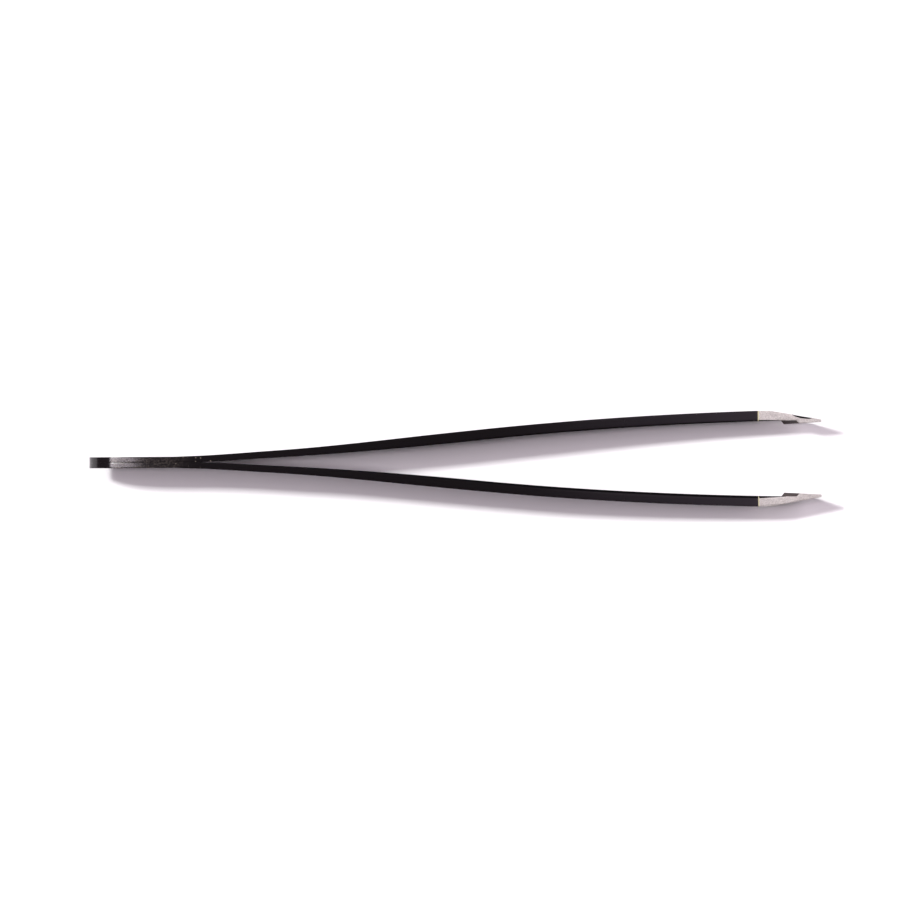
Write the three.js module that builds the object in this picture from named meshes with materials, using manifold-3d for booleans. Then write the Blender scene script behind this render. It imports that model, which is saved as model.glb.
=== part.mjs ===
// Slant tweezers, in millimetres, lying on one long side edge.
//
// Two stainless leaves are spot-welded flat against each other at the tail. From there each one runs on as a
// sprung arm that thickens from the weld to the finger grip, tapers in width to the tip, and ends in a claw:
// a step in the inner face, a gripping face behind the slanted edge, and a ground bevel outside.
//
// +X runs from the tail to the tip, +Y is the side of the left arm, and +Z is up, across the width of the arms.
// The origin is the middle of the length and of the gap, on the surface that the tweezers lie on. Inside the
// group, x is the station, the distance from the tail end, and z is counted from the middle of the width.

import * as THREE from "three";
import { mergeVertices } from "three/addons/utils/BufferGeometryUtils.js";
import Module from "manifold-3d";

const wasm = await Module();
wasm.setup();

// Outline across the width
const LENGTH = 95;
const ARM_WIDTH = 9.1; // at the finger grip, the widest place
const GRIP_START = 40; // the side edges run straight and level from here ...
const GRIP_END = 53; // ... to here, and the tweezers lie on the lower one
const END_ALONG = 5.5; // half lengths, along and across, of the ellipse round the very end of the tail
const END_ACROSS = 4.07;
const END_RUN = 2.7; // the ellipse gives way to the straighter sides here
const TIP_WIDTH = 4.2;

// Leaves
const WELD_RUN = 14; // the leaves lie flat together up to this station
const LEAF_SEAM = 0.02; // from the middle plane to the inner face of a leaf along the weld run
const TAIL_THICKNESS = 0.7;
const ARM_THICKNESS = 1.38;
const THICKENS_FROM = 11; // each leaf grows thicker from here ...
const FULL_THICKNESS_FROM = 48; // ... to here

// Flexure: each leaf bends about here, so it is divided here into a welded part and a sprung arm
const FLEXURE = 20.5;
const FLEXURE_GAP = 0.1;

// Tip
const COAT_EDGE = 86.8; // the enamel ends here, and the tip beyond is bare ground steel
const TIP_SEAM = 0.04; // gap between the coated blade and the bare tip
const SLANT_RUN = 1.7; // how far the lower corner of the edge lies behind the upper one
const STEP_START = 91.7; // where the inner face steps in, along the upper edge
const STEP_RUN = 0.39;
const CLAW_HALF_GAP = 4.7; // from the middle plane to the gripping face, at the cutting edge
const CLAW_SLOPE = 0.056; // the gripping faces lie almost flat together once the arms are squeezed shut
const EDGE_THICKNESS = 0.33;
const BEVEL_START = 88.2;

// Spot welds
const WELD_RADIUS = 1.1;
const WELD_DEPTH = 0.3; // how far a nugget reaches into each leaf
const WELD_CLEARANCE = 0.05;
const WELD_STATIONS = { rear_weld_nugget: 4.2, front_weld_nugget: 8.4 };

const STATION_STEP = 2; // length of a facet along the arms
const BEYOND = 3; // how far a blank reaches past the piece that is cut from it

// The inner face of a leaf and half the width of its outline, as [station, value, slope] knots that smooth
// cubics join. The arms bow outwards between the weld and the tip.
const INNER_FACE = [
  [WELD_RUN, LEAF_SEAM, 0.02],
  [24, 0.53, 0.051],
  [50, 2.56, 0.1],
  [92, 4.94, 0.016],
];
const THICKNESS = [
  [THICKENS_FROM, TAIL_THICKNESS, 0.045],
  [24, 0.92, 0.012],
  [FULL_THICKNESS_FROM, ARM_THICKNESS, 0],
];
const HALF_WIDTH = [
  [END_RUN, 3.5, 0.25],
  [7.7, 4.2, 0.04],
  [GRIP_START, ARM_WIDTH / 2, 0],
  [GRIP_END, ARM_WIDTH / 2, 0],
  [78, 3.02, -0.066],
  [LENGTH, TIP_WIDTH / 2, -0.04],
];

const ENAMEL = new THREE.MeshStandardMaterial({ color: 0x1b171c, roughness: 0.42, metalness: 0.1 });
const GROUND_STEEL = new THREE.MeshStandardMaterial({ color: 0xc4bebc, roughness: 0.35, metalness: 1 });
const WELD_STEEL = new THREE.MeshStandardMaterial({ color: 0x8b8784, roughness: 0.6, metalness: 1 });

// The value at a station of the smooth curve through the knots, level before the first and after the last.
function through(knots, station) {
  const last = knots.length - 1;
  const s = Math.min(Math.max(station, knots[0][0]), knots[last][0]);
  const i = Math.min(knots.findLastIndex((knot) => knot[0] <= s), last - 1);
  const [s0, v0, slope0] = knots[i];
  const [s1, v1, slope1] = knots[i + 1];
  const span = s1 - s0;
  const t = (s - s0) / span;
  const rise = t * t * (3 - 2 * t);
  return v0 + rise * (v1 - v0) + t * (1 - t) * ((1 - t) * slope0 - t * slope1) * span;
}

const innerFace = (station) => through(INNER_FACE, station);
const outerFace = (station) => innerFace(station) + through(THICKNESS, station);

function halfWidth(station) {
  if (station >= END_RUN) return through(HALF_WIDTH, station);
  const reach = 1 - station / END_ALONG;
  return END_ACROSS * Math.sqrt(1 - reach * reach);
}

// Stations from one end to the other, both included, about a facet's length apart.
function stations(from, to) {
  const count = Math.ceil((to - from) / STATION_STEP);
  return Array.from({ length: count + 1 }, (_, i) => from + ((to - from) * i) / count);
}

// Stations round the end of the tail, closer together where it turns fastest.
function endStations(count = 9) {
  const turn = Math.acos(1 - END_RUN / END_ALONG);
  return Array.from({ length: count }, (_, i) => END_ALONG * (1 - Math.cos((turn * i) / count)));
}

function toSolid(geometry) {
  const bare = geometry.clone().deleteAttribute("normal").deleteAttribute("uv");
  const merged = mergeVertices(bare);
  const vertProperties = new Float32Array(merged.attributes.position.array);
  const triVerts = new Uint32Array(merged.index.array);
  return new wasm.Manifold(new wasm.Mesh({ numProp: 3, vertProperties, triVerts }));
}

function toGeometry(solid) {
  const mesh = solid.getMesh();
  const geometry = new THREE.BufferGeometry();
  geometry.setAttribute("position", new THREE.BufferAttribute(mesh.vertProperties, 3));
  geometry.setIndex(new THREE.BufferAttribute(mesh.triVerts, 1));
  geometry.computeVertexNormals();
  return geometry;
}

// A side-on shape, drawn in x and y, drawn out across the whole width.
function acrossWidth(points) {
  const depth = ARM_WIDTH + 2 * BEYOND;
  const geometry = new THREE.ExtrudeGeometry(new THREE.Shape(points), { depth, bevelEnabled: false });
  return geometry.translate(0, 0, -depth / 2);
}

// The outline across the width, drawn in x and z, drawn out through both arms.
function outlineSolid() {
  const sides = [...stations(END_RUN, GRIP_START), ...stations(GRIP_END, LENGTH)];
  const edge = [...endStations(), ...sides];
  const upper = edge.map((s) => new THREE.Vector2(s, halfWidth(s)));
  upper.push(new THREE.Vector2(LENGTH + BEYOND, TIP_WIDTH / 2));
  const lower = upper.slice(1).map((p) => new THREE.Vector2(p.x, -p.y));
  const depth = 2 * (outerFace(LENGTH) + BEYOND);
  const shape = new THREE.Shape([...lower, ...upper.reverse()]);
  const geometry = new THREE.ExtrudeGeometry(shape, { depth, bevelEnabled: false });
  return toSolid(geometry.rotateX(Math.PI / 2).translate(0, depth / 2, 0));
}

const OUTLINE = outlineSolid();

// One stretch of the left leaf, cut to the outline.
function leafSolid(from, to) {
  const along = stations(from, to);
  const inner = along.map((s) => new THREE.Vector2(s, innerFace(s)));
  const outer = along.map((s) => new THREE.Vector2(s, outerFace(s))).reverse();
  return toSolid(acrossWidth([...inner, ...outer])).intersect(OUTLINE);
}

// A weld nugget is a lens that straddles the seam, lying on the y axis of the weld.
function weldLens(station, clearance) {
  const radius = WELD_RADIUS + clearance;
  const depth = WELD_DEPTH + clearance;
  const profile = Array.from({ length: 9 }, (_, i) => {
    const angle = Math.PI * (i / 8 - 0.5);
    return new THREE.Vector2(i % 8 ? radius * Math.cos(angle) : 0, depth * Math.sin(angle));
  });
  return new THREE.LatheGeometry(profile, 24).translate(station, 0, 0);
}

// The welded part of the left leaf, hollowed on its inner face for its half of each nugget.
function tailLeaf() {
  const pockets = Object.values(WELD_STATIONS).map((station) => toSolid(weldLens(station, WELD_CLEARANCE)));
  const leaf = leafSolid(0, FLEXURE - FLEXURE_GAP / 2);
  return toGeometry(pockets.reduce((rest, pocket) => rest.subtract(pocket), leaf));
}

// The sprung, coated part of the left arm.
function armBlade() {
  return toGeometry(leafSolid(FLEXURE + FLEXURE_GAP / 2, COAT_EDGE - TIP_SEAM / 2));
}

// The bare tip of the left arm. Its side-on shape is drawn along the upper edge. Beyond the coat every line of
// it leans back towards the lower edge, so that the step and the bevel follow the slanted cutting edge, while
// the gripping face stays in the one plane in which it meets the other arm's.
function tipClaw() {
  const start = COAT_EDGE + TIP_SEAM / 2;
  const stepEnd = STEP_START + STEP_RUN;
  const points = [
    new THREE.Vector2(start, innerFace(start)),
    new THREE.Vector2(STEP_START, innerFace(STEP_START)),
    new THREE.Vector2(stepEnd, CLAW_HALF_GAP - CLAW_SLOPE * (LENGTH - stepEnd)),
    new THREE.Vector2(LENGTH, CLAW_HALF_GAP),
    new THREE.Vector2(LENGTH, CLAW_HALF_GAP + EDGE_THICKNESS),
    new THREE.Vector2(BEVEL_START, outerFace(BEVEL_START)),
    new THREE.Vector2(start, outerFace(start)),
  ];
  const geometry = acrossWidth(points);
  const position = geometry.attributes.position;
  for (let i = 0; i < position.count; i++) {
    const station = position.getX(i);
    const belowUpperEdge = TIP_WIDTH / 2 - position.getZ(i);
    const lean = THREE.MathUtils.clamp((station - start) / (STEP_START - start), 0, 1);
    const back = lean * belowUpperEdge * (SLANT_RUN / TIP_WIDTH);
    position.setX(i, station - back);
    const onGrip = station > STEP_START + STEP_RUN / 2;
    if (onGrip) position.setY(i, position.getY(i) - CLAW_SLOPE * back);
  }
  return toGeometry(toSolid(geometry).intersect(OUTLINE));
}

const LEFT_PIECES = {
  tail_leaf: [tailLeaf(), ENAMEL],
  arm_blade: [armBlade(), ENAMEL],
  tip_claw: [tipClaw(), GROUND_STEEL],
};

// One side of the tweezers: the right side is the left one mirrored in the middle plane.
function side(name, mirror) {
  const group = new THREE.Group();
  group.scale.y = mirror;
  for (const [piece, [geometry, material]] of Object.entries(LEFT_PIECES)) {
    const mesh = new THREE.Mesh(geometry, material);
    mesh.name = `${name}_${piece}`;
    group.add(mesh);
  }
  return group;
}

function welds() {
  const group = new THREE.Group();
  for (const [name, station] of Object.entries(WELD_STATIONS)) {
    const mesh = new THREE.Mesh(weldLens(station, 0), WELD_STEEL);
    mesh.name = name;
    group.add(mesh);
  }
  return group;
}

const tweezers = new THREE.Group();
tweezers.add(side("left", 1), side("right", -1), welds());
tweezers.position.set(-LENGTH / 2, 0, ARM_WIDTH / 2);

export default tweezers;
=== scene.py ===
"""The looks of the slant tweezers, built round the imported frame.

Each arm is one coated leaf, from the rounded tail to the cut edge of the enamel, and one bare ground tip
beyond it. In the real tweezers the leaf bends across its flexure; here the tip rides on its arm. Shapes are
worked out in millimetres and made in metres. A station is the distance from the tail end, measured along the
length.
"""

import math

import bmesh
import bpy
from mathutils import Matrix, Vector


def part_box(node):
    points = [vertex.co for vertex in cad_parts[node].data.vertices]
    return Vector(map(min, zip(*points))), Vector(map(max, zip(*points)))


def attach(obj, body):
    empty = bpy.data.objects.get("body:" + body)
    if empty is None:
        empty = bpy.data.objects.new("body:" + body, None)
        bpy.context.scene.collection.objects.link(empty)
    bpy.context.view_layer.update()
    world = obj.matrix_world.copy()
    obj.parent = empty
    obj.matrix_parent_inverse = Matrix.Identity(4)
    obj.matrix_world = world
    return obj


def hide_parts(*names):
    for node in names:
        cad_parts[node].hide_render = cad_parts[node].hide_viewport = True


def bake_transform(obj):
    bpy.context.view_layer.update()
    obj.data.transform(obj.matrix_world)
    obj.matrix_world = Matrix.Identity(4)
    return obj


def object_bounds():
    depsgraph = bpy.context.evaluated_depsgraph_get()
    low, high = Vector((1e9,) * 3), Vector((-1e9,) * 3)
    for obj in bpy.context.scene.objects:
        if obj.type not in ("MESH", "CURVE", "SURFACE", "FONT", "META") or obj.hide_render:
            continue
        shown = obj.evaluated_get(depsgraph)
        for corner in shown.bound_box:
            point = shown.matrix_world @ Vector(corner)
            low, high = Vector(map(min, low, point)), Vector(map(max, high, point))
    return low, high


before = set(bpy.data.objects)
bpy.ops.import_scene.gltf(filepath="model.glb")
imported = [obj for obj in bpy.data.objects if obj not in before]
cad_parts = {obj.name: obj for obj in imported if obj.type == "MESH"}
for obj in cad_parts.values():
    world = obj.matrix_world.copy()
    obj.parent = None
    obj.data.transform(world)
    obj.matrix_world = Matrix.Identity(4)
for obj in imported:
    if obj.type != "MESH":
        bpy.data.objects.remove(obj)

CAD_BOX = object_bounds()

MM = 0.001

# ---- Sizes that come from the frame --------------------------------------------------------------

TAIL_X = CAD_BOX[0].x / MM
LENGTH = (CAD_BOX[1].x - CAD_BOX[0].x) / MM
MIDDLE_Z = (CAD_BOX[0].z + CAD_BOX[1].z) / 2 / MM
ARM_HALF_WIDTH = (CAD_BOX[1].z - CAD_BOX[0].z) / 2 / MM
COAT_EDGE = (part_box("left_arm_blade")[1].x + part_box("left_tip_claw")[0].x) / 2 / MM - TAIL_X

# ---- Shape of a leaf -----------------------------------------------------------------------------

END_AXES = (5.5, 4.07)  # half lengths, along and across, of the ellipse round the very end of the tail
END_RUN = 2.7  # it gives way to the straighter sides here
TIP_HALF_WIDTH = 2.1
WELD_RUN = 14.0  # the leaves lie flat together up to this station

# (station, value, slope) knots that smooth cubics join
INNER_FACE = [(WELD_RUN, 0.002, 0.02), (24, 0.53, 0.051), (50, 2.56, 0.1), (92, 4.94, 0.016)]
THICKNESS = [(11, 0.718, 0.045), (24, 0.92, 0.012), (48, 1.38, 0)]
HALF_WIDTH = [
    (END_RUN, 3.5, 0.25),
    (7.7, 4.2, 0.04),
    (40, ARM_HALF_WIDTH, 0),
    (53, ARM_HALF_WIDTH, 0),
    (78, 3.02, -0.066),
    (LENGTH, TIP_HALF_WIDTH, -0.04),
]

# Corners. The blank was punched from its inner side, so the inner corners are rolled over.
OUTER_ROUND = 0.03  # the outer corners stay almost sharp
SEAM_ROUND = 0.004  # at the tail, where the coat bridges the seam between the leaves
ROLLED_ROUND = {"left": 0.18, "right": 0.32}
ROLLED_FROM = (14, 66)  # the rolled corner grows between these stations

# Cut edge of the enamel
COAT_THICKNESS = 0.03
CUT_RUN = 0.15  # its slope, half of it on each side of the line where the two pieces meet
CUT_START = COAT_EDGE - CUT_RUN / 2

# Tip. Its side-on shape is drawn along the upper edge, and every line of it leans back to the lower edge.
SLANT = 1.7 / (2 * TIP_HALF_WIDTH)
STEP_START = 91.7
STEP_RUN = 0.39
STEP_END = STEP_START + STEP_RUN
CLAW_HALF_GAP = 4.7
CLAW_SLOPE = 0.056
EDGE_THICKNESS = 0.33
BEVEL_START = 88.2
CORNER_COAT_END = 90.3  # the deep-black corner look, painted shade along the tip's inner edge, runs out here
TIP_ROUND = 0.035
SLIVER = (91.1, 93.8)  # a dark strip along the left arm's upper outer corner, in the deep-black corner look
SLIVER_ROUND = 0.26
SLIVER_FULLNESS = 0.7  # below 1, so that it is wide over most of its length

# Fineness of the meshes
END_RINGS = 18
RING_STEP = 0.45
TIP_RING_STEP = 0.2
FACE_ROWS = 8
CORNER_STEPS = 4
EDGE_ROWS = 4
NOSE_STEPS = 3
NOSE_SHRINK = 0.9 * TIP_ROUND  # how far the last ring of a tip has drawn in
SHARP_ANGLE = math.radians(34)
FALL_BACK_PASSES = 6  # enough for the outline and the slant to agree
HAIR = 0.01  # a length smaller than any other here
SAME_PLACE = 1e-8  # points this close together are one, in metres


def through(knots, station):
    """The value at a station of the smooth curve through the knots, level beyond its ends."""
    s = min(max(station, knots[0][0]), knots[-1][0])
    i = max(k for k in range(len(knots) - 1) if knots[k][0] <= s)
    (s0, v0, slope0), (s1, v1, slope1) = knots[i], knots[i + 1]
    t = (s - s0) / (s1 - s0)
    rise = t * t * (3 - 2 * t)
    return v0 + rise * (v1 - v0) + t * (1 - t) * ((1 - t) * slope0 - t * slope1) * (s1 - s0)


def inner_face(station):
    """How far the inner face of a leaf is from the middle plane."""
    return through(INNER_FACE, station)


def outer_face(station):
    """How far the outer face of a leaf is from the middle plane."""
    return inner_face(station) + through(THICKNESS, station)


def half_width(station):
    """Half the width of the outline, beyond the round end."""
    return through(HALF_WIDTH, station)


def spread(start, end, count):
    """count + 1 values from start to end, both included."""
    return [start + (end - start) * i / count for i in range(count + 1)]


def share(value, start, end):
    """How far value has come from start to end, from 0 to 1."""
    return min(max((value - start) / (end - start), 0), 1)


def ease(value, start, end):
    """As share, but slow to start and slow to end."""
    t = share(value, start, end)
    return t * t * (3 - 2 * t)


# ---- Sections ------------------------------------------------------------------------------------
# A ring is one closed section of an arm. It runs over the upper edge from the outer face to the inner one,
# down the inner face, back over the lower edge, and up the outer face.

OVER_EDGE = ["edge"] * EDGE_ROWS + ["inner_corner"] * CORNER_STEPS
UPPER = ["upper_outer_corner"] * CORNER_STEPS + OVER_EDGE
LOWER = ["lower_outer_corner"] * CORNER_STEPS + OVER_EDGE
ZONES = UPPER + ["inner_face"] * FACE_ROWS + LOWER[::-1] + ["outer_face"] * FACE_ROWS


def over_edge(outer, inner, outer_round, inner_round):
    """The way over an edge, as (inset from the outline, y), with both of its corners rounded."""
    way = []
    for angle in spread(0, math.pi / 2, CORNER_STEPS):
        way.append((outer_round * (1 - math.sin(angle)), outer - outer_round * (1 - math.cos(angle))))
    for y in spread(outer - outer_round, inner + inner_round, EDGE_ROWS)[1:-1]:
        way.append((0, y))
    for angle in spread(math.pi / 2, 0, CORNER_STEPS):
        way.append((inner_round * (1 - math.sin(angle)), inner + inner_round * (1 - math.cos(angle))))
    return way


def between(first, last):
    """The points that divide a face into rows, without its two ends."""
    return [first.lerp(last, t) for t in spread(0, 1, FACE_ROWS)[1:-1]]


def ring(edge_at, outer_at, inner_at, rounds_at):
    """One closed section. A side is 1 for the upper edge and -1 for the lower one.

    edge_at(side, inset) gives the x and z of the outline, outer_at(side) and inner_at(side) the y of a face,
    and rounds_at(side) the rounding of the outer and inner corners.
    """
    sides = []
    for side in (1, -1):
        way = over_edge(outer_at(side), inner_at(side), *rounds_at(side))
        points = []
        for inset, y in way:
            x, z = edge_at(side, inset)
            points.append(Vector((x, y, z)))
        sides.append(points)
    upper, lower = sides
    return upper + between(upper[-1], lower[-1]) + lower[::-1] + between(lower[0], upper[0])


def leaf_ring(station, width, outward, rounds, inset=0.0):
    """The section of a leaf at a point of its outline, where the outline faces outward."""
    outer = outer_face(station) - inset
    inner = inner_face(station) + inset

    def edge_at(side, depth):
        return station - outward.x * (depth + inset), side * (width - outward.y * (depth + inset))

    return ring(edge_at, lambda side: outer, lambda side: inner, lambda side: rounds)


def round_end():
    """The outline round the end of the tail, as (station, half width, the way it faces, inset)."""
    outline = []
    length, breadth = END_AXES
    for angle in spread(0, math.acos(1 - END_RUN / length), END_RINGS)[:-1]:
        outward = Vector((-breadth * math.cos(angle), length * math.sin(angle))).normalized()
        outline.append((length * (1 - math.cos(angle)), breadth * math.sin(angle), outward, 0.0))
    return outline


def straight_sides():
    """The rest of the outline, which draws in by the coat's thickness at the cut edge of the enamel."""
    outline = []
    stations = spread(END_RUN, CUT_START, round((CUT_START - END_RUN) / RING_STEP))
    for station in stations + [CUT_START + CUT_RUN]:
        slope = (half_width(station + HAIR) - half_width(station - HAIR)) / (2 * HAIR)
        inset = COAT_THICKNESS if station > CUT_START else 0.0
        outline.append((station, half_width(station), Vector((-slope, 1)).normalized(), inset))
    return outline


def leaf_rings(arm):
    """The rings of a leaf with the station of each, from the tail end to the cut edge of the enamel."""
    rings = []
    for station, width, outward, inset in round_end() + straight_sides():
        rolled = SEAM_ROUND + (ROLLED_ROUND[arm] - SEAM_ROUND) * ease(station, *ROLLED_FROM)
        rings.append((station, leaf_ring(station, width, outward, (OUTER_ROUND, rolled), inset)))
    return rings


def fall_back(station, z):
    """How far a line of the tip, drawn at a station of the upper edge, has fallen back at height z."""
    return share(station, COAT_EDGE, STEP_START) * (TIP_HALF_WIDTH - z) * SLANT


def tip_edge(station, side, inset):
    """The x and z where a line of the tip meets the outline."""
    x = station
    for _ in range(FALL_BACK_PASSES):
        z = side * (half_width(x) - inset)
        x = station - fall_back(station, z)
    return x, z


def tip_outer(station, z):
    """The y of the outer face where a line of the tip is at height z: the leaf's, and then the bevel."""
    if station <= BEVEL_START:
        return outer_face(station) - COAT_THICKNESS
    end = CLAW_HALF_GAP + EDGE_THICKNESS - CLAW_SLOPE * fall_back(LENGTH, z)
    start = outer_face(BEVEL_START) - COAT_THICKNESS
    return start + (end - start) * share(station, BEVEL_START, LENGTH)


def tip_inner(station, z):
    """The y of the inner face where a line of the tip is at height z: the leaf's, the step, and the grip."""
    grip = CLAW_HALF_GAP - CLAW_SLOPE * (LENGTH - station + fall_back(station, z))
    return inner_face(station) + (grip - inner_face(station)) * share(station, STEP_START, STEP_END)


def tip_ring(arm, station, shrink=0.0):
    """The section of a bare tip along one of its lines, drawn in by shrink at the rounded cutting edge."""
    coated = 1 - share(station, COAT_EDGE, CORNER_COAT_END)
    rolled = TIP_ROUND + (ROLLED_ROUND[arm] - TIP_ROUND) * coated
    sliver = SLIVER_ROUND * math.sin(math.pi * share(station, *SLIVER)) ** SLIVER_FULLNESS

    def height(side):
        return tip_edge(station, side, 0)[1]

    def edge_at(side, inset):
        return tip_edge(station, side, inset + COAT_THICKNESS + shrink)

    def rounds_at(side):
        return TIP_ROUND + (sliver if arm == "left" and side > 0 else 0), rolled

    return ring(
        edge_at,
        lambda side: tip_outer(station, height(side)) - shrink,
        lambda side: tip_inner(station, height(side)) + shrink,
        rounds_at,
    )


def tip_rings(arm):
    """The rings of a bare tip, from just inside the enamel to the rounded cutting edge."""
    tip_end = LENGTH - TIP_ROUND
    stops = [COAT_EDGE, BEVEL_START, CORNER_COAT_END, SLIVER[0], STEP_START, STEP_END, SLIVER[1], tip_end]
    stations = [COAT_EDGE]
    for start, end in zip(stops, stops[1:]):
        stations += spread(start, end, max(2, round((end - start) / TIP_RING_STEP)))[1:]
    rings = [(station, tip_ring(arm, station)) for station in stations]
    for angle in spread(0, math.pi / 2, NOSE_STEPS)[1:]:
        station = LENGTH - TIP_ROUND * (1 - math.sin(angle))
        rings.append((station, tip_ring(arm, station, NOSE_SHRINK * (1 - math.cos(angle)))))
    return rings


# ---- Meshes --------------------------------------------------------------------------------------


def loft(name, arm, rings, looks, look_of):
    """A closed mesh through the rings. look_of(zone, station) names the material of each patch."""
    mirror = 1 if arm == "left" else -1
    bm = bmesh.new()
    station_layer = bm.verts.layers.float.new("station")
    place_layer = bm.verts.layers.float_vector.new("place")
    rows = []
    for station, points in rings:
        row = []
        for point in points:
            vert = bm.verts.new(Vector((point.x + TAIL_X, mirror * point.y, point.z + MIDDLE_Z)) * MM)
            vert[station_layer] = station
            vert[place_layer] = Vector((point.x, mirror * point.y, point.z))
            row.append(vert)
        rows.append(row)
    names = list(looks)
    for (station, _), low, high in zip(rings, rows, rows[1:]):
        for i, zone in enumerate(ZONES):
            j = (i + 1) % len(ZONES)
            face = bm.faces.new((low[i], low[j], high[j], high[i]))
            face.material_index = names.index(look_of(zone, station))
    for row in (rows[0], rows[-1]):
        cap = bm.faces.new(row)
        cap.material_index = names.index(look_of("cap", 0))
    bmesh.ops.remove_doubles(bm, verts=bm.verts, dist=SAME_PLACE)
    bmesh.ops.recalc_face_normals(bm, faces=bm.faces)
    for face in bm.faces:
        face.smooth = True
    for edge in bm.edges:
        edge.smooth = edge.calc_face_angle(0) < SHARP_ANGLE
    mesh = bpy.data.meshes.new(name)
    bm.to_mesh(mesh)
    bm.free()
    for look in looks.values():
        mesh.materials.append(look)
    piece = bpy.data.objects.new(name, mesh)
    bpy.context.scene.collection.objects.link(piece)
    weighted = piece.modifiers.new("weighted_normals", "WEIGHTED_NORMAL")
    weighted.keep_sharp = True
    return piece


# ---- Materials -----------------------------------------------------------------------------------
# The textures read the place attribute, which holds the rest position in millimetres, so that they stay put
# on a leaf that bends.


def add(tree, kind, inputs=None, **settings):
    """A new node. An input is a number, a colour, or the output of another node."""
    node = tree.nodes.new(kind)
    for name, value in settings.items():
        setattr(node, name, value)
    for name, value in (inputs or {}).items():
        if isinstance(value, bpy.types.NodeSocket):
            tree.links.new(value, node.inputs[name])
        else:
            node.inputs[name].default_value = value
    return node


def new_look(name, constants):
    """A material with one Principled shader, whose uniform values are set on its own sockets."""
    look = bpy.data.materials.new(name)
    look.use_nodes = True
    shader = look.node_tree.nodes["Principled BSDF"]
    for socket, value in constants.items():
        shader.inputs[socket].default_value = value
    return look, look.node_tree, shader


def attribute(tree, name, output="Fac"):
    return add(tree, "ShaderNodeAttribute", attribute_name=name).outputs[output]


def place_of(tree):
    return attribute(tree, "place", "Vector")


def remap(tree, value, start, end, low=0.0, high=1.0):
    """low where value is start, high where it is end, and a straight line between."""
    numbers = {"Value": value, "From Min": start, "From Max": end, "To Min": low, "To Max": high}
    return add(tree, "ShaderNodeMapRange", numbers).outputs["Result"]


def math_node(tree, operation, first, second=0.0):
    return add(tree, "ShaderNodeMath", {0: first, 1: second}, operation=operation).outputs[0]


def weighted_sum(tree, major, minor):
    """Six parts of the first and four parts of the second."""
    six_parts = math_node(tree, "MULTIPLY", major, 0.6)
    four_parts = math_node(tree, "MULTIPLY", minor, 0.4)
    return math_node(tree, "ADD", six_parts, four_parts)


def blend_colours(tree, factor, first, second):
    mix = add(tree, "ShaderNodeMix", data_type="RGBA")
    sockets = {s.identifier: s for s in mix.inputs}
    for name, value in (("Factor_Float", factor), ("A_Color", first), ("B_Color", second)):
        if isinstance(value, bpy.types.NodeSocket):
            tree.links.new(value, sockets[name])
        else:
            sockets[name].default_value = value
    return next(s for s in mix.outputs if s.identifier == "Result_Color")


# Moves the noise, so that none of the planes on which it is level lies in the middle plane or in a face
OFF_MIDDLE = (0.37, 0.61, 0.83)


def grain(tree, size, detail=2.0, place=None):
    """Noise from 0 to 1 whose features are size millimetres long in x, y and z."""
    scale = Vector([1 / length for length in size])
    inputs = {0: place or place_of(tree), 1: scale, 2: OFF_MIDDLE}
    scaled = add(tree, "ShaderNodeVectorMath", inputs, operation="MULTIPLY_ADD")
    inputs = {"Vector": scaled.outputs[0], "Scale": 1.0, "Detail": detail, "Roughness": 0.6}
    return add(tree, "ShaderNodeTexNoise", inputs).outputs["Fac"]


def relief(tree, shader, height, depth):
    """Bump of depth millimetres from a height between 0 and 1."""
    inputs = {"Height": height, "Strength": 1.0, "Distance": depth * MM}
    tree.links.new(add(tree, "ShaderNodeBump", inputs).outputs[0], shader.inputs["Normal"])


def specks(tree, size, density):
    """1 in small scattered dots, and 0 elsewhere. size is the distance between cells in millimetres."""
    inputs = {"Vector": place_of(tree), "Scale": 1 / size}
    cells = add(tree, "ShaderNodeTexVoronoi", inputs)
    near = remap(tree, cells.outputs["Distance"], 0.12, 0.28, 1, 0)
    chosen = add(tree, "ShaderNodeSeparateColor", {"Color": cells.outputs["Color"]}).outputs[0]
    return math_node(tree, "MULTIPLY", near, math_node(tree, "LESS_THAN", chosen, density))


def along(tree, stops):
    """A number or a colour that changes along the length, from (station, value) stops."""
    station = attribute(tree, "station")
    ramp = add(tree, "ShaderNodeValToRGB", {"Fac": math_node(tree, "DIVIDE", station, LENGTH)})
    elements = ramp.color_ramp.elements
    while len(elements) < len(stops):
        elements.new(0.5)
    for element, (place, value) in zip(elements, stops):
        element.position = place / LENGTH
        element.color = value if isinstance(value, tuple) else (value, value, value, 1)
    return ramp.outputs["Color"]


def enamel_on_faces():
    """Satin black enamel with a faint orange-peel surface."""
    look, tree, shader = new_look("enamel_on_faces", {"Specular IOR Level": 0.4})
    cloud = grain(tree, (9, 9, 9))
    peel = grain(tree, (0.35, 0.35, 0.35))
    colour = blend_colours(tree, cloud, (0.003, 0.0025, 0.003, 1), (0.007, 0.006, 0.007, 1))
    tree.links.new(colour, shader.inputs["Base Color"])
    tree.links.new(remap(tree, peel, 0.3, 0.7, 0.22, 0.3), shader.inputs["Roughness"])
    relief(tree, shader, peel, 0.0012)
    return look


# How the coat over the sheared edge changes along the length, as (station, value) stops
# The colour greying from station 52 to the tip is painted reflection.
EDGE_COLOURS_WITH_PAINTED_SHEEN = [
    (3, (0.006, 0.004, 0.005, 1)),
    (14, (0.0015, 0.0006, 0.001, 1)),
    (52, (0.0015, 0.0006, 0.001, 1)),
    (74, (0.010, 0.008, 0.010, 1)),
    (87, (0.018, 0.0145, 0.018, 1)),
]
EDGE_SPECULAR = [(3, 0.5), (4.2, 0.3), (8, 0.35), (20, 0.5), (48, 0.5), (72, 0.25)]
EDGE_ROUGHNESS = [(0, 0.17), (45, 0.17), (80, 0.24)]
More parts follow.
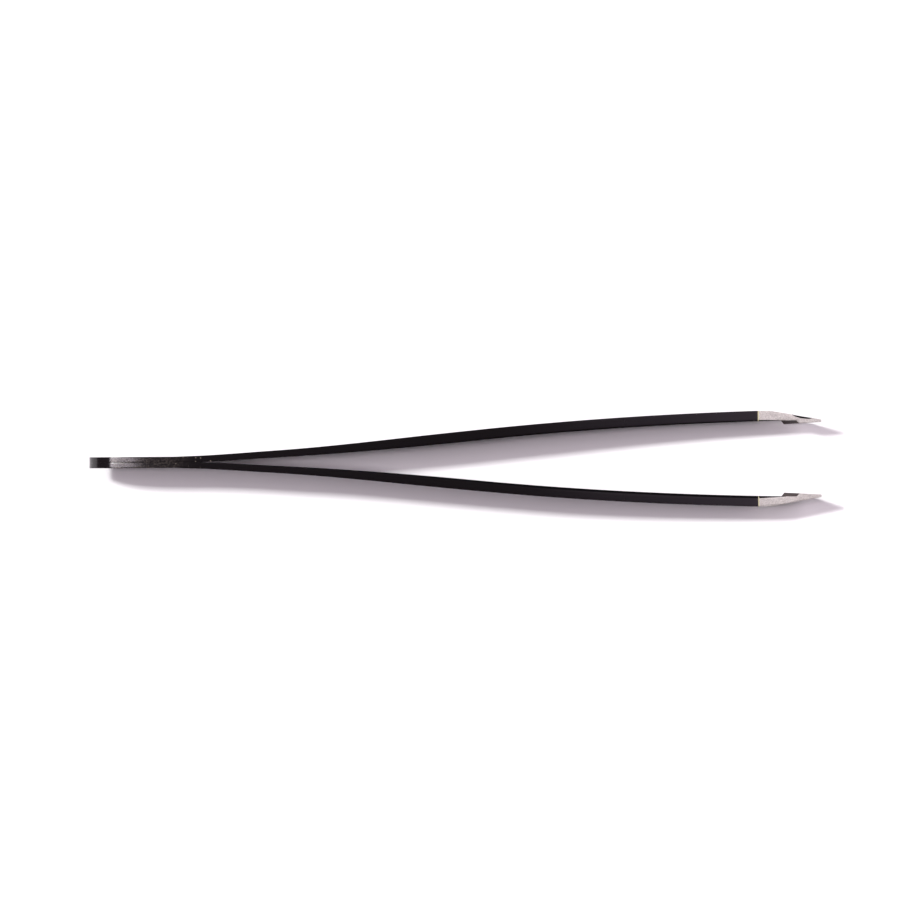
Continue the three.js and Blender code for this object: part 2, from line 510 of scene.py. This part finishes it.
# The rubbed patch at the tail: partly wear, and its lighter colour partly painted highlight
WEAR_AND_PAINTED_HIGHLIGHT = [(END_RUN - 0.1, 0.0), (END_RUN + 0.1, 0.9), (4.2, 0.45), (6, 0.25), (10.5, 0.16), (13.5, 0.0)]
# Dust specks along the tail; the dense ones where the rubbed patch starts are painted glints of the highlight
DUST_AND_PAINTED_GLINTS = [(2.6, 0.0), (2.7, 0.4), (5, 0.05), (9, 0.05), (11, 0.12), (15, 0.12), (18, 0.0)]


def edge_colour(tree, wear_and_highlight, texture):
    """The coat's colour over a sheared edge, with worn patches and dust that are partly painted highlight."""
    worn_and_highlight = math_node(tree, "MULTIPLY", wear_and_highlight, remap(tree, texture, 0.46, 0.6))
    # The lighter worn colour is partly painted highlight.
    colour = blend_colours(tree, worn_and_highlight, along(tree, EDGE_COLOURS_WITH_PAINTED_SHEEN), (0.15, 0.125, 0.105, 1))
    # Light specks: dust, and painted glints near the start of the rubbed patch.
    dust_and_glints = specks(tree, 0.32, along(tree, DUST_AND_PAINTED_GLINTS))
    return blend_colours(tree, math_node(tree, "MULTIPLY", dust_and_glints, 0.8), colour, (0.3, 0.26, 0.21, 1))


def edge_roughness(tree, wear_and_highlight, streaks):
    """Smooth where the coat is whole, and rougher and streaky where it is rubbed."""
    smooth = along(tree, EDGE_ROUGHNESS)
    gap = math_node(tree, "SUBTRACT", remap(tree, streaks, 0.3, 0.7, 0.22, 0.38), smooth)
    return math_node(tree, "ADD", smooth, math_node(tree, "MULTIPLY", gap, wear_and_highlight))


def enamel_on_edges():
    """Enamel over the sheared edge of the blank: rubbed and dusty at the tail, where its lighter patch and
    bright specks are partly painted highlight, and greyer towards the tip as painted reflection.
    """
    look, tree, shader = new_look("enamel_on_edges", {})
    streaks = grain(tree, (0.8, 0.12, 0.5), 3)
    speckle = grain(tree, (0.2, 0.2, 0.2), 2)
    wear_and_highlight = along(tree, WEAR_AND_PAINTED_HIGHLIGHT)
    colour = edge_colour(tree, wear_and_highlight, weighted_sum(tree, speckle, streaks))
    tree.links.new(colour, shader.inputs["Base Color"])
    tree.links.new(edge_roughness(tree, wear_and_highlight, streaks), shader.inputs["Roughness"])
    tree.links.new(along(tree, EDGE_SPECULAR), shader.inputs["Specular IOR Level"])
    wear_and_highlight_more = math_node(tree, "ADD", wear_and_highlight, 0.15)
    height = math_node(tree, "MULTIPLY", weighted_sum(tree, streaks, speckle), wear_and_highlight_more)
    relief(tree, shader, height, 0.008)
    return look


def corner_enamel_painted_shade():
    """Enamel on the corners in deep black, which paints the shade of the dark line along the inner edges."""
    look, tree, shader = new_look("corner_enamel_painted_shade", {"Specular IOR Level": 0.06})
    cloud = grain(tree, (3, 3, 3))
    # The deep black colour is painted shade.
    colour = blend_colours(tree, cloud, (0.001, 0.001, 0.001, 1), (0.003, 0.002, 0.003, 1))
    tree.links.new(colour, shader.inputs["Base Color"])
    tree.links.new(remap(tree, cloud, 0.3, 0.7, 0.3, 0.38), shader.inputs["Roughness"])
    return look


def cut_enamel():
    """The cut edge of the enamel, where its cream primer shows."""
    look, tree, shader = new_look("cut_enamel", {"Specular IOR Level": 0.4, "Roughness": 0.6})
    patches = grain(tree, (0.1, 0.1, 0.1))
    colour = blend_colours(tree, patches, (0.42, 0.38, 0.22, 1), (0.62, 0.58, 0.38, 1))
    tree.links.new(colour, shader.inputs["Base Color"])
    return look


def enamel_on_step():
    """Thin enamel on the step of the inner face, brown where the metal is near."""
    look, tree, shader = new_look("enamel_on_step", {"Specular IOR Level": 0.12, "Roughness": 0.5})
    patches = grain(tree, (0.5, 0.5, 0.5))
    colour = blend_colours(tree, patches, (0.024, 0.013, 0.012, 1), (0.055, 0.036, 0.034, 1))
    tree.links.new(colour, shader.inputs["Base Color"])
    return look


def ground_steel():
    """Stainless steel, ground satin and speckled with fine bright facets."""
    look, tree, shader = new_look("ground_steel", {"Metallic": 1.0})
    facets = grain(tree, (0.16, 0.16, 0.16), 3)
    lines = grain(tree, (0.9, 0.06, 0.9), 2)
    patches = grain(tree, (1.6, 1.6, 1.6), 2)
    tone = remap(tree, weighted_sum(tree, facets, patches), 0.35, 0.65)
    colour = blend_colours(tree, tone, (0.40, 0.38, 0.36, 1), (0.70, 0.67, 0.635, 1))
    tree.links.new(colour, shader.inputs["Base Color"])
    tree.links.new(remap(tree, facets, 0.3, 0.7, 0.34, 0.52), shader.inputs["Roughness"])
    relief(tree, shader, weighted_sum(tree, facets, lines), 0.016)
    return look


def weld_steel():
    """The matt grey metal of a spot weld, a CAD node, so the texture reads the object's own place."""
    look, tree, shader = new_look("weld_steel", {"Metallic": 1.0})
    own = add(tree, "ShaderNodeTexCoord").outputs["Object"]
    place = add(tree, "ShaderNodeVectorMath", {0: own, "Scale": 1 / MM}, operation="SCALE").outputs[0]
    ripple = grain(tree, (0.3, 0.3, 0.3), 3, place)
    colour = blend_colours(tree, ripple, (0.28, 0.26, 0.25, 1), (0.42, 0.38, 0.34, 1))
    tree.links.new(colour, shader.inputs["Base Color"])
    tree.links.new(remap(tree, ripple, 0.3, 0.7, 0.5, 0.7), shader.inputs["Roughness"])
    return look


LEAF_LOOKS = {
    "face": enamel_on_faces(),
    "edge": enamel_on_edges(),
    "corner": corner_enamel_painted_shade(),
    # The corner look paints shade along the corners.
    "cut": cut_enamel(),
}
TIP_LOOKS = {
    "steel": ground_steel(),
    "face": LEAF_LOOKS["face"],
    "corner": LEAF_LOOKS["corner"],
    "step": enamel_on_step(),
}


# ---- The pieces ----------------------------------------------------------------------------------


def leaf_look(zone, station):
    """Enamel all over, with its primer showing from the start of the cut edge."""
    if zone != "cap" and station > CUT_START - HAIR:
        return "cut"
    # The corners take the deep-black corner look, which paints shade on them.
    if zone.endswith("corner"):
        return "corner"
    return "edge" if zone == "edge" else "face"


def tip_look(arm):
    """Enamel stays on the inner face as far as the step's foot, and the deep-black corner look, which paints
    shade, along parts of the corners.
    """

    def look_of(zone, station):
        if zone == "inner_face" and station < STEP_END - HAIR:
            return "face" if station < STEP_START - HAIR else "step"
        if zone == "inner_corner" and station < CORNER_COAT_END - HAIR:
            return "corner"
        on_sliver = SLIVER[0] <= station < SLIVER[1] - HAIR
        if zone == "upper_outer_corner" and arm == "left" and on_sliver:
            return "corner"
        return "steel"

    return look_of


def build_arm(arm):
    """The leaf and the tip of one arm, with the body the tip moves with and the nodes they replace."""
    leaf = loft(f"{arm}_leaf", arm, leaf_rings(arm), LEAF_LOOKS, leaf_look)
    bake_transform(leaf)
    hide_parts(f"{arm}_tail_leaf", f"{arm}_arm_blade")
    tip = loft(f"{arm}_tip", arm, tip_rings(arm), TIP_LOOKS, tip_look(arm))
    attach(tip, f"{arm}_arm")
    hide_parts(f"{arm}_tip_claw")


for arm_name in ("left", "right"):
    build_arm(arm_name)

weld = weld_steel()
for nugget in ("rear_weld_nugget", "front_weld_nugget"):
    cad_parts[nugget].data.materials.clear()
    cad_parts[nugget].data.materials.append(weld)


# ---- Table, light and camera ---------------------------------------------------------------------
# The tweezers lie a little nose down, so the table is tilted under them and touches the lower edges in one
# place.

PITCH = math.radians(1.33)
TOUCH = Vector((7.1, 0, 0.01)) * MM
TABLE = Matrix.Translation(TOUCH) @ Matrix.Rotation(-PITCH, 4, "Y")
TABLE_RADIUS = 0.3
CAMERA_HEIGHT = 1.75
ROLL = math.radians(-0.36)
AIM = Vector((-0.714, 1.365)) * MM  # from the middle of the tweezers to the middle of the picture
PICTURE_WIDTH = 0.11679  # at the height of the upper edges
UPPER_EDGES = 0.0055
TABLE_WHITE = 0.86
LILAC = (1.0, 0.88, 0.98)
ROOM_LEVEL = 0.1
BOX_DISTANCE = 3.0
# Each soft box: where it is, as direction cosines along and across the table, its length and breadth in
# degrees, how bright it alone makes the table, and its colour
SOFT_BOXES = {
    "key": ((-0.455, 0.255), (5, 5), 0.38, (1, 1, 1)),
    "round_key": ((-0.44, 0.255), (15, 5), 0.32, (1, 1, 1)),
    "beside_key": ((-0.42, 0.0), (26, 5), 0.18, LILAC),
    "near_key": ((-0.42, 0.1), (26, 10), 0.09, LILAC),
    "right": ((0.62, 0.3), (42, 40), 0.32, LILAC),
}


def table_top():
    """A plain white round table top."""
    bm = bmesh.new()
    bmesh.ops.create_circle(bm, cap_ends=True, radius=TABLE_RADIUS, segments=96)
    mesh = bpy.data.meshes.new("table_top")
    bm.to_mesh(mesh)
    bm.free()
    white = (TABLE_WHITE, TABLE_WHITE, TABLE_WHITE, 1)
    plain = {"Base Color": white, "Roughness": 1.0, "Specular IOR Level": 0.0}
    mesh.materials.append(new_look("white_table", plain)[0])
    top = bpy.data.objects.new("table_top", mesh)
    bpy.context.scene.collection.objects.link(top)
    top.matrix_world = TABLE


def soft_box(name, place, size, level, colour):
    """A rectangular light, far enough off to light the whole object alike."""
    x, y = place
    towards = TABLE.to_3x3() @ Vector((x, y, math.sqrt(1 - x**2 - y**2)))
    side = towards.cross(TABLE.to_3x3() @ Vector((1, 0, 0))).normalized()
    facing = Matrix((side.cross(towards), side, towards)).transposed()
    light = bpy.data.lights.new(name, "AREA")
    light.shape = "RECTANGLE"
    light.size, light.size_y = [2 * BOX_DISTANCE * math.tan(math.radians(angle) / 2) for angle in size]
    light.color = colour
    # A far light casts energy * slant / (pi * BOX_DISTANCE**2) on the table, and the brightness of the
    # matt table is that times TABLE_WHITE / pi
    slant = towards.dot(TABLE.to_3x3() @ Vector((0, 0, 1)))
    light.energy = level / TABLE_WHITE / slant * (math.pi * BOX_DISTANCE) ** 2
    lamp = bpy.data.objects.new(name, light)
    bpy.context.scene.collection.objects.link(lamp)
    lamp.matrix_world = Matrix.Translation(towards * BOX_DISTANCE) @ facing.to_4x4()


def soft_room():
    """White behind everything for the camera, and a faint even lilac light."""
    world = bpy.data.worlds.new("room")
    bpy.context.scene.world = world
    world.use_nodes = True
    tree = world.node_tree
    tree.nodes.clear()
    fill = add(tree, "ShaderNodeBackground", {"Color": (*LILAC, 1), "Strength": ROOM_LEVEL})
    white = add(tree, "ShaderNodeBackground", {"Color": (1, 1, 1, 1), "Strength": 1.0})
    seen = add(tree, "ShaderNodeLightPath").outputs["Is Camera Ray"]
    either = add(tree, "ShaderNodeMixShader", {0: seen, 1: fill.outputs[0], 2: white.outputs[0]})
    output = add(tree, "ShaderNodeOutputWorld")
    tree.links.new(either.outputs[0], output.inputs["Surface"])


def camera():
    """A long lens high above the table, looking straight down at it."""
    lens = bpy.data.cameras.new("camera")
    lens.sensor_width = 36
    lens.lens = lens.sensor_width * (CAMERA_HEIGHT - UPPER_EDGES) / PICTURE_WIDTH
    lens.clip_start = 0.1
    lens.clip_end = 10
    eye = bpy.data.objects.new("camera", lens)
    bpy.context.scene.collection.objects.link(eye)
    middle = TABLE.inverted() @ Vector((0, 0, UPPER_EDGES))
    over_middle = Matrix.Translation((middle.x, middle.y, 0)) @ Matrix.Rotation(ROLL, 4, "Z")
    eye.matrix_world = TABLE @ over_middle @ Matrix.Translation((AIM.x, AIM.y, CAMERA_HEIGHT))
    bpy.context.scene.camera = eye


table_top()
for box_name, settings in SOFT_BOXES.items():
    soft_box(box_name, *settings)
soft_room()
camera()
bpy.context.scene.view_settings.view_transform = "Standard"
